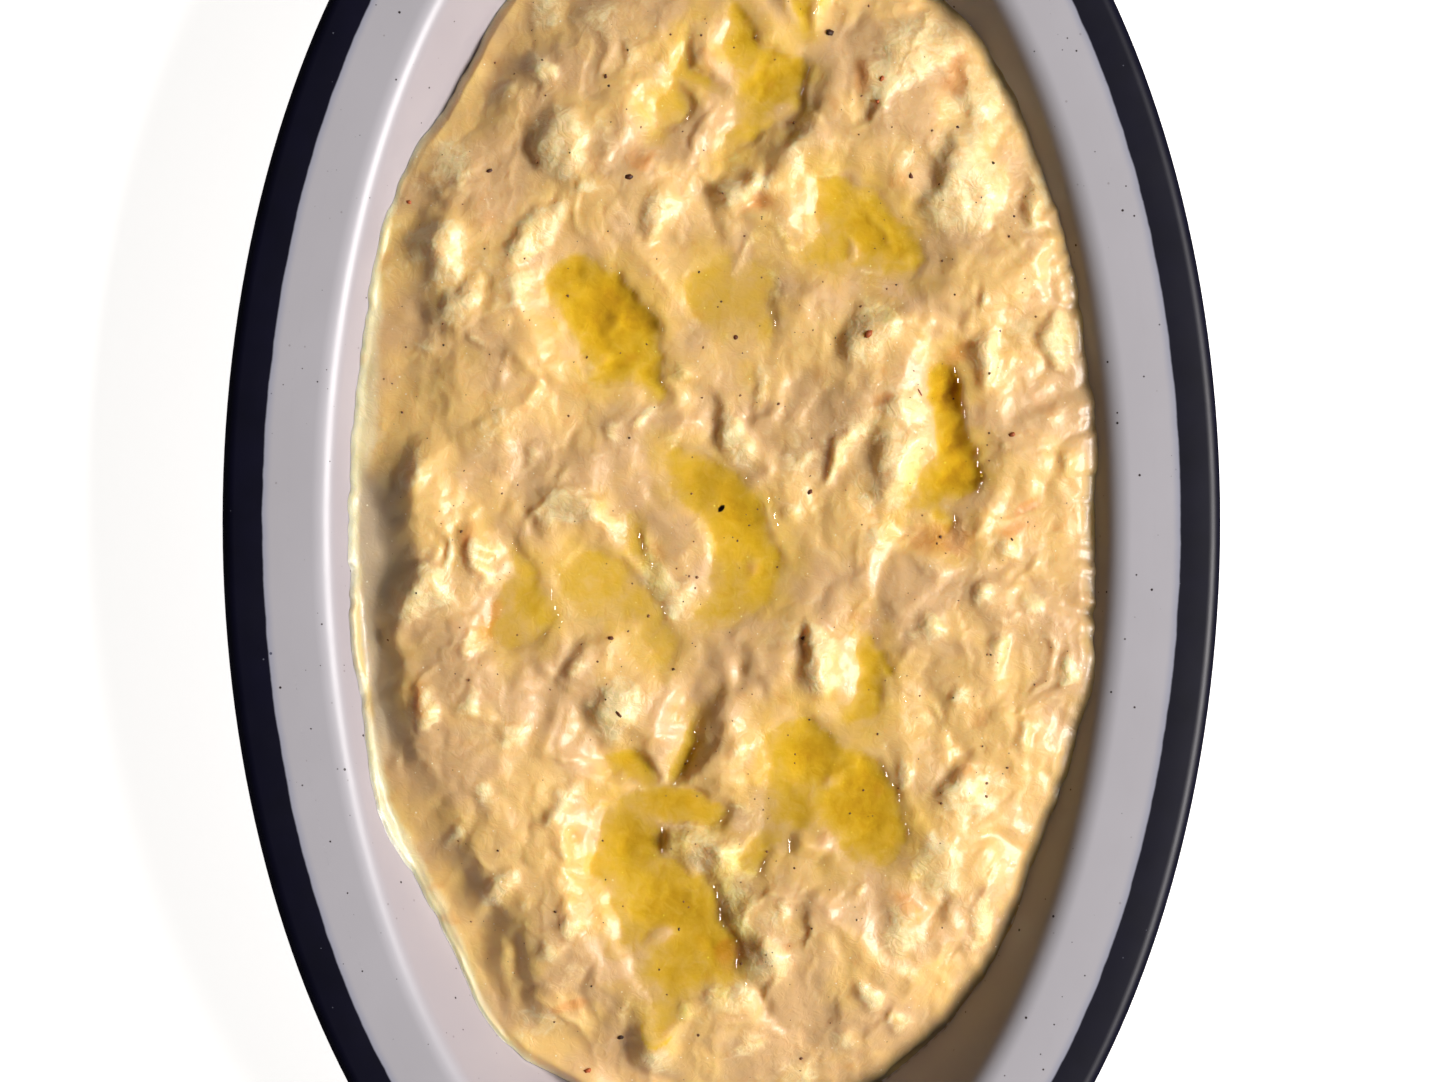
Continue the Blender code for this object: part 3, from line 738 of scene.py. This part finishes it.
def dip_surface(x, y):
    """The height of the dip at places in mm, the masks of what its surface is made of and its painted
    shadow.
    """
    reach, radius = outline_reach(x, y)
    inward = np.clip((1 - reach) * radius, 0, None)
    bent_at = bent(x, y)
    medium_lumps = scattered_lumps(seed=8, count=260, smallest=2.0, largest=4.6, steepness=0.21)
    small_lumps = scattered_lumps(seed=7, count=520, smallest=0.8, largest=1.7, steepness=0.11)
    large = lumps_over(*bent_at, LUMPS, 1.0)
    large = smooth_max(large, lumps_over(*bent_at, medium_lumps, 0.6), 0.5)
    small = lumps_over(*bent_at, small_lumps, 0.3)
    lumpy = np.clip(ease(large, 0.1, 1.3) + ease(small, 0.1, 0.6) * 0.6, 0, 1)
    mash = mash_relief(x, y, bent_at, lumpy)
    height = dip_ground(x, y, reach) + large + small + mash - hollows_in(*bent_at)

    oil = np.zeros_like(x)
    inside_any = np.full_like(x, FAR_OUTSIDE)
    shore_x, shore_y = ragged(x, y)
    bumps = lumps_over(shore_x, shore_y, POOL_BUMPS, 0.3)
    for name in POOLS:
        height, inside = sink_pool(height, x, y, shore_x, shore_y, bumps, name)
        oil = np.where(inside > PAST_SHORE, np.maximum(oil, oil_level(name) - height), oil)
        inside_any = np.maximum(inside_any, inside)
    stain = 0.1 * ease(inside_any, -0.9, 0.0) * ease(waves(x, y, 3.0, 45), -0.5, 0.6)

    sag = ease(x, 15, 30) * (1.0 + 0.4 * waves(x, y, 9.0, 59) + 0.3 * ease(-y, 4, 14))
    height = height - sag * np.exp(-((inward / SAG_WIDTH) ** 2))
    film_height = (FILM + 0.08 * waves(x, y, 2.2, 42)) * ease(inward, -0.1, 1.0)
    wall = wall_height(x, y) + WALL_GAP + film_height
    rounded = 1 - (1 - np.clip(inward / EDGE_ROUND, 0, 1)) ** 2
    edged = wall + (height - wall) * rounded
    filmed, film, fringe = left_edge(x, y, inward, wall, height)
    left = ease(-x, 8, 18)
    surface = np.where(inward < LEFT_EDGE_WIDTH, edged * (1 - left) + filmed * left, height)
    return {
        "height": surface,
        "lump": lumpy * (1 - ease(oil, 0.0, 0.1)),
        "film": left * film,
        "fringe": left * fringe,
        # Painted shadow of the dish's shoulder: the paste darkened near its edge, all round but for the
        # left.
        "painted_shoulder_shadow": (1 - left) * (1 - ease(inward, -0.4, 3.6)),
        "warm_tone_and_shade": browned_and_shaded_bits_in(*bent_at),
        "oil": np.clip(oil, 0, None) + stain,
    }


def make_paste():
    """Moist paste: beige between the lumps, paler and yellower on them, and golden under the oil."""
    made, tree, shader, place = new_material("aubergine paste")
    lump, film, fringe, painted_shoulder_shadow, browned_and_shaded, oil = [stored(tree, name) for name in MASKS]
    broad = noise(tree, place, 0.011, 3)
    fine = noise(tree, place, 0.0024, 4, 0.6, 0.9)
    paste = blend(tree, fade(tree, broad, 0.38, 0.62), srgb(223, 185, 132), srgb(239, 200, 127))
    flesh = blend(tree, fade(tree, fine, 0.3, 0.7), srgb(241, 206, 142), srgb(250, 227, 174))
    mixed = calc(tree, "MULTIPLY_ADD", calc(tree, "SUBTRACT", fine, 0.5), 1.2, lump)
    colour = blend(tree, fade(tree, mixed, 0.2, 0.8), paste, flesh)
    colour = lay_over(tree, colour, film, 0.85, srgb(242, 222, 176))
    colour = lay_over(tree, colour, fringe, 0.8, srgb(190, 174, 150))
    # Painted shadow of the dish's shoulder, darkening the paste along its right edge.
    colour = lay_over(tree, colour, painted_shoulder_shadow, 0.68, srgb(104, 82, 52))
    # Random warmer patches, and the browner bits, which are partly painted shading in hollows.
    warm_tone_and_shade = calc(tree, "MAXIMUM", fade(tree, noise(tree, place, 0.005, 2), 0.62, 0.78),
                calc(tree, "MULTIPLY", browned_and_shaded, 1.8))
    colour = lay_over(tree, colour, warm_tone_and_shade, 0.35, srgb(226, 158, 84))
    colour = lay_over(tree, colour, specks(tree, 1.8 * MM, 0.13 * MM, 0.5), 0.7, srgb(112, 70, 44))
    # Tiny near-white dots: painted glints on the wet paste.
    colour = lay_over(tree, colour, specks(tree, 1.2 * MM, 0.17 * MM, 0.45), 0.7, srgb(255, 246, 220))

    patchy = calc(tree, "MULTIPLY_ADD", noise(tree, place, 0.0018, 3, 0.6, 0.8), 2.6, 0.08)
    oil = calc(tree, "MULTIPLY", oil, patchy)
    passed = [calc(tree, "POWER", share, oil) for share in (0.82, 0.725, 0.02)]
    golden = node(tree, "ShaderNodeCombineColor", {i: value for i, value in enumerate(passed)})
    tinted = node(tree, "ShaderNodeMix", {0: 1.0, 6: colour, 7: golden.outputs[0]}, data_type="RGBA",
                  blend_type="MULTIPLY")

    under_oil = fade(tree, oil, 0.03, 0.2)
    wet = calc(tree, "MULTIPLY_ADD", fine, 0.25, 0.34)
    roughness = calc(tree, "MAXIMUM", wet, under_oil)
    grain = noise(tree, place, 0.0013, 2, 0.45, 0.6)
    creased = calc(tree, "ABSOLUTE", calc(tree, "SUBTRACT", noise(tree, place, 0.002, 2, 0.5, 1.2), 0.5))
    rough = calc(tree, "MULTIPLY_ADD", creased, 1.6, grain)
    height = calc(tree, "MULTIPLY", rough, calc(tree, "MULTIPLY_ADD", lump, 0.5, 0.3))
    set_inputs(tree, shader, {
        "Base Color": tinted.outputs[2],
        "Roughness": roughness,
        "Normal": bump(tree, height, 0.48, 0.5 * MM),
        "Subsurface Weight": 0.75,
        "Subsurface Radius": (1.0, 0.75, 0.45),
        "Subsurface Scale": 2.2 * MM,
        "Coat Weight": calc(tree, "MULTIPLY_ADD", under_oil, -0.14, 0.14),
        "Coat Roughness": 0.12,
    })
    return made


RIM = 1.0
FOOT = 2.0
FOOT_SHARE = 0.5


def dip_grid():
    """A square grid for the dip's top, with a rim and a foot extruded from it and the foot closed."""
    bm = bmesh.new()
    skirt_of = bm.verts.layers.float.new("skirt")
    bmesh.ops.create_grid(bm, x_segments=DIP_CELLS[0], y_segments=DIP_CELLS[1], size=1.0)
    loop = [edge for edge in bm.edges if edge.is_boundary]
    for edge in loop:
        edge.smooth = False
    for part in (RIM, FOOT):
        verts, loop = extend(bm, loop)
        for vert in verts:
            vert[skirt_of] = part
    bmesh.ops.edgeloop_fill(bm, edges=loop)
    return bm


def make_dip():
    """The grid rounded into the dip's outline and raised to its surface. Its rim goes just into the
    enamel, and its foot is closed halfway in, a little above it."""
    dip = add_piece("baba_ganoush_dip", dip_grid(), make_paste(), "aubergine_paste", "baba_ganoush")
    mesh = dip.data
    places = np.empty(len(mesh.vertices) * 3)
    mesh.vertices.foreach_get("co", places)
    places = places.reshape(-1, 3)
    skirt = np.empty(len(mesh.vertices), dtype=np.float32)
    mesh.attributes["skirt"].data.foreach_get("value", skirt)
    mesh.attributes.remove(mesh.attributes["skirt"])

    u, v = places[:, 0], places[:, 1]
    disc_u, disc_v = u * np.sqrt(1 - v * v / 2), v * np.sqrt(1 - u * u / 2)
    x, y = disc_u * DIP_HALF_WIDTH, disc_v * DIP_HALF_LENGTH + DIP_CENTRE_Y
    share = outline_reach(x, y)[0] / np.maximum(np.hypot(disc_u, disc_v), 1e-6)
    x, y = x / share, (y - DIP_CENTRE_Y) / share + DIP_CENTRE_Y
    relief = dip_surface(x, y)
    height = np.where(skirt == RIM, wall_height(x, y) - 0.1, relief["height"])
    x, y = np.where(skirt == FOOT, x * FOOT_SHARE, x), np.where(skirt == FOOT, y * FOOT_SHARE, y)
    height = np.where(skirt == FOOT, wall_height(x, y) + 0.2, height)
    places[:, 0], places[:, 1], places[:, 2] = x * MM, y * MM, height * MM
    mesh.vertices.foreach_set("co", places.ravel())
    for name in MASKS:
        mask = mesh.attributes.new(name, "FLOAT", "POINT")
        mask.data.foreach_set("value", relief[name].astype(np.float32))
    mesh.update()


make_dip()


# ---------------------------------------------- the olive oil
# Oil poured over the dip has run into its hollows and stands there in clear golden pools. Each creeps
# up its shore a little, and its underside follows the paste.

OIL_CELL = 0.45
CREEP = 0.16
CREEP_DEPTH = 0.25
SHORE_RISE = 0.25
POOL_MARGIN = Vector((1, 1))


def make_oil():
    """Clear golden oil that lets the light through to the paste."""
    made, tree, shader, place = new_material("olive oil")
    cloudy = noise(tree, place, 0.004, 2)
    colour = blend(tree, cloudy, srgb(251, 251, 244), srgb(253, 253, 248))
    swell = noise(tree, place, 0.0035, 2)
    set_inputs(tree, shader, {
        "Base Color": colour,
        "Roughness": 0.03,
        "IOR": 1.47,
        "Transmission Weight": 1.0,
        "Normal": bump(tree, swell, 0.25, 0.4 * MM),
    })
    clear = node(tree, "ShaderNodeBsdfTransparent", {"Color": srgb(252, 252, 246)})
    rays = node(tree, "ShaderNodeLightPath")
    lets_through = calc(tree, "MAXIMUM", rays.outputs["Is Shadow Ray"], rays.outputs["Is Diffuse Ray"])
    mixed = node(tree, "ShaderNodeMixShader", {0: lets_through, 1: shader.outputs[0], 2: clear.outputs[0]})
    set_inputs(tree, tree.nodes["Material Output"], {"Surface": mixed.outputs[0]})
    return made


def pool_grid(lobes):
    """A flat grid in millimetres that covers a pool with a margin."""
    lobes = np.array(lobes)
    reach = lobes[:, 2:4].max(axis=1, keepdims=True)
    low = Vector((lobes[:, :2] - reach).min(axis=0)) - POOL_MARGIN
    high = Vector((lobes[:, :2] + reach).max(axis=0)) + POOL_MARGIN
    centre = (low + high) / 2
    cells = [max(4, int(side / OIL_CELL)) for side in high - low]
    bm = bmesh.new()
    bmesh.ops.create_grid(bm, x_segments=cells[0], y_segments=cells[1], size=0.5)
    bmesh.ops.scale(bm, vec=(high.x - low.x, high.y - low.y, 1), verts=bm.verts)
    bmesh.ops.translate(bm, vec=(centre.x, centre.y, 0), verts=bm.verts)
    return bm


def make_pool(name, material):
    """A grid over the pool, cut off just past the shore, with a top at the level and a closed underside."""
    lobes = POOLS[name][1]
    bm = pool_grid(lobes)
    x, y = np.array([vert.co.xy for vert in bm.verts]).T
    level = oil_level(name)
    bottom = dip_surface(x, y)["height"]
    inside = pool_depth(*ragged(x, y), lobes)
    dry = (bottom > level + CREEP + SHORE_RISE) | (inside < PAST_SHORE)
    top = level + CREEP * np.exp(-np.clip(level - bottom, 0, None) / CREEP_DEPTH)
    underside = {}
    for vert, upper, lower in zip(bm.verts, top, np.minimum(bottom - 0.1, top - 0.05)):
        vert.co.z = upper
        underside[round(vert.co.x, 4), round(vert.co.y, 4)] = lower
    gone = [vert for vert, out in zip(bm.verts, dry) if out]
    bmesh.ops.delete(bm, geom=gone, context="VERTS")
    bmesh.ops.delete(bm, geom=[v for v in bm.verts if not v.link_faces], context="VERTS")
    made = bmesh.ops.extrude_face_region(bm, geom=list(bm.faces), use_keep_orig=True)["geom"]
    for vert in (item for item in made if isinstance(item, bmesh.types.BMVert)):
        vert.co.z = underside[round(vert.co.x, 4), round(vert.co.y, 4)]
    bmesh.ops.scale(bm, vec=(MM, MM, MM), verts=bm.verts)
    add_piece("oil_pool_" + name[-2:], bm, material, "olive_oil", name)


oil_material = make_oil()
for pool_name in POOLS:
    make_pool(pool_name, oil_material)


# ------------------------------------------- spice and chilli
# Ground pepper and char off the aubergine's skin are stirred through the dip, and a few larger flakes of
# dried chilli lie on it. Each is a small angular crumb that sits half in the surface.

CRUMB_HEIGHT = 0.5
CRUMB_RAISED = 0.12


def make_spice(name, dark, light):
    """Dry crumbs, each with its own tone."""
    made, tree, shader, place = new_material(name)
    tone = stored(tree, "tone")
    rough = noise(tree, place, 0.0004, 2)
    mixed = calc(tree, "MULTIPLY_ADD", calc(tree, "SUBTRACT", rough, 0.5), 0.5, tone, clamp=True)
    set_inputs(tree, shader, {
        "Base Color": blend(tree, mixed, dark, light),
        "Roughness": calc(tree, "MULTIPLY_ADD", rough, 0.3, 0.4),
        "Normal": bump(tree, rough, 0.6, 0.1 * MM),
    })
    return made


def make_crumbs(name, material, crumbs, seed):
    """One joined mesh of crumbs: centre x and y, half length, half width, turn in degrees and tone."""
    lots = np.random.default_rng(seed)
    bm = bmesh.new()
    tone_of = bm.verts.layers.float.new("tone")
    places = np.array([crumb[:2] for crumb in crumbs], dtype=float)
    heights = dip_surface(places[:, 0], places[:, 1])["height"]
    for (x, y, half_length, half_width, turn, tone), z in zip(crumbs, heights):
        tilted = Matrix.Rotation(lots.uniform(-0.4, 0.4), 4, "Y")
        spun = Matrix.Rotation(math.radians(turn), 4, "Z") @ tilted
        sized = Matrix.Diagonal((half_length, half_width, CRUMB_HEIGHT * half_width, 1.0))
        moved = Matrix.Translation((x, y, z + CRUMB_RAISED * half_width))
        made = bmesh.ops.create_icosphere(bm, subdivisions=1, radius=1.0)["verts"]
        for vert in made:
            vert.co *= lots.uniform(0.7, 1.15)
            vert[tone_of] = tone
        bmesh.ops.transform(bm, matrix=Matrix.Scale(MM, 4) @ moved @ spun @ sized, verts=made)
    add_piece(name, bm, material, "aubergine_paste")


def scattered_specks():
    """Fine specks all over the dip, apart from the outermost edge."""
    lots = np.random.default_rng(19)
    for _ in range(330):
        direction, out = lots.uniform(0, 2 * math.pi), math.sqrt(lots.uniform(0, 0.92))
        size = lots.choice((0.12, 0.16, 0.22, 0.3), p=(0.35, 0.35, 0.22, 0.08))
        x = math.cos(direction) * out * DIP_HALF_WIDTH
        y = math.sin(direction) * out * DIP_HALF_LENGTH + DIP_CENTRE_Y
        yield x, y, size, size * lots.uniform(0.6, 1.0), lots.uniform(0, 180), lots.uniform(0, 1)


CHILLI_FLAKES = (
    (20.5, 26.2, 0.75, 0.62, 40, 0.8), (15.2, 68.8, 0.75, 0.6, 20, 0), (-13, 48.2, 1, 0.42, -5, 0.1),
    (-32.6, 49.2, 0.6, 0.34, 30, 0.1), (-14.2, -72.9, 0.62, 0.45, 20, 0), (2, 25.9, 0.45, 0.36, 60, 0.2),
    (22.4, 62, 0.52, 0.34, 60, 1), (21.9, 58.8, 0.5, 0.34, 10, 1), (26.5, 48.4, 0.6, 0.36, -60, 0.2),
    (-16.2, 62.4, 0.55, 0.26, -80, 0.1), (40.6, 12.2, 0.6, 0.38, 20, 0.7),
    (27.8, 18.1, 0.75, 0.2, -60, 0.6), (-14.4, -26.9, 0.8, 0.24, -45, 0.2),
    (-15.5, -16.3, 0.48, 0.36, 20, 0.2), (-44, 45, 0.5, 0.36, 0, 1), (11.5, -16.3, 0.48, 0.32, 10, 0.1),
    (12.4, 4.2, 0.5, 0.36, 40, 0.2), (-19, -78, 0.7, 0.4, 20, 1),
)

make_crumbs("spice_specks", make_spice("ground spice", srgb(64, 42, 26), srgb(138, 90, 52)),
            list(scattered_specks()), 5)
make_crumbs("chilli_flakes", make_spice("dried chilli", srgb(56, 33, 19), srgb(180, 92, 44)),
            CHILLI_FLAKES, 6)


# ------------------------------------ floor, light and camera
# A plain pale floor. The main light is a soft box on the right, halfway up; the rest is weak fill.
# The camera looks straight down on the dish, as wide as its middle stretch.

FLOOR_HALF_SIZE = 3.0
FRAME_WIDTH = 0.202
FRAME_CENTRE = (-0.2 * MM, -2.7 * MM)
CAMERA_ABOVE_BEAD = 0.5
SENSOR = 36.0


def make_floor():
    """A floor so bright that it shows nearly white."""
    made, tree, shader, place = new_material("pale floor")
    colour = blend(tree, noise(tree, place, 0.3, 2), srgb(244, 243, 241), srgb(248, 247, 245))
    set_inputs(tree, shader, {
        "Base Color": colour,
        "Emission Color": colour,
        "Emission Strength": 0.97,
        "Roughness": 0.9,
    })
    bm = bmesh.new()
    bmesh.ops.create_grid(bm, x_segments=1, y_segments=1, size=FLOOR_HALF_SIZE)
    mesh = bpy.data.meshes.new("floor")
    bm.to_mesh(mesh)
    bm.free()
    mesh.materials.append(made)
    floor = bpy.data.objects.new("floor", mesh)
    scene.collection.objects.link(floor)
    floor.visible_glossy = False


def add_light(name, direction, height, distance, size, power, colour):
    """A square soft light that looks at the middle of the dish, unseen by the camera. Its direction and
    height are in degrees."""
    light = bpy.data.lights.new(name, "AREA")
    light.shape = "SQUARE"
    light.size, light.energy, light.color = size, power, colour
    made = bpy.data.objects.new(name, light)
    made.visible_camera = False
    a, e = math.radians(direction), math.radians(height)
    out = Vector((math.cos(a) * math.cos(e), math.sin(a) * math.cos(e), math.sin(e)))
    made.location = Vector((0, 0, LIP * MM)) + out * distance
    made.rotation_euler = out.to_track_quat("Z", "Y").to_euler()
    scene.collection.objects.link(made)


def make_room():
    """Faint warm light from all around, and colours that show as they are."""
    world = bpy.data.worlds.new("studio")
    world.use_nodes = True
    set_inputs(world.node_tree, world.node_tree.nodes["Background"], {
        "Color": (1.0, 0.95, 0.92, 1.0),
        "Strength": 0.022,
    })
    scene.world = world
    scene.view_settings.view_transform = "Standard"


def make_camera():
    """A camera straight above the dish, whose frame is as wide at the bead's height as its name says."""
    camera = bpy.data.cameras.new("camera")
    camera.sensor_width = SENSOR
    camera.lens = SENSOR * CAMERA_ABOVE_BEAD / FRAME_WIDTH
    made = bpy.data.objects.new("camera", camera)
    made.location = (*FRAME_CENTRE, (LIP - BEAD_RADIUS) * MM + CAMERA_ABOVE_BEAD)
    scene.collection.objects.link(made)
    scene.camera = made


make_floor()
add_light("key", direction=-8, height=41, distance=2.6, size=0.95, power=105.0, colour=(1.0, 0.96, 0.945))
add_light("fill", direction=75, height=42, distance=1.6, size=0.9, power=0.6, colour=(1.0, 0.92, 0.84))
make_room()
make_camera()
# How often light bounces.
scene.cycles.diffuse_bounces = 3
scene.cycles.transmission_bounces = 6
scene.cycles.max_bounces = 6
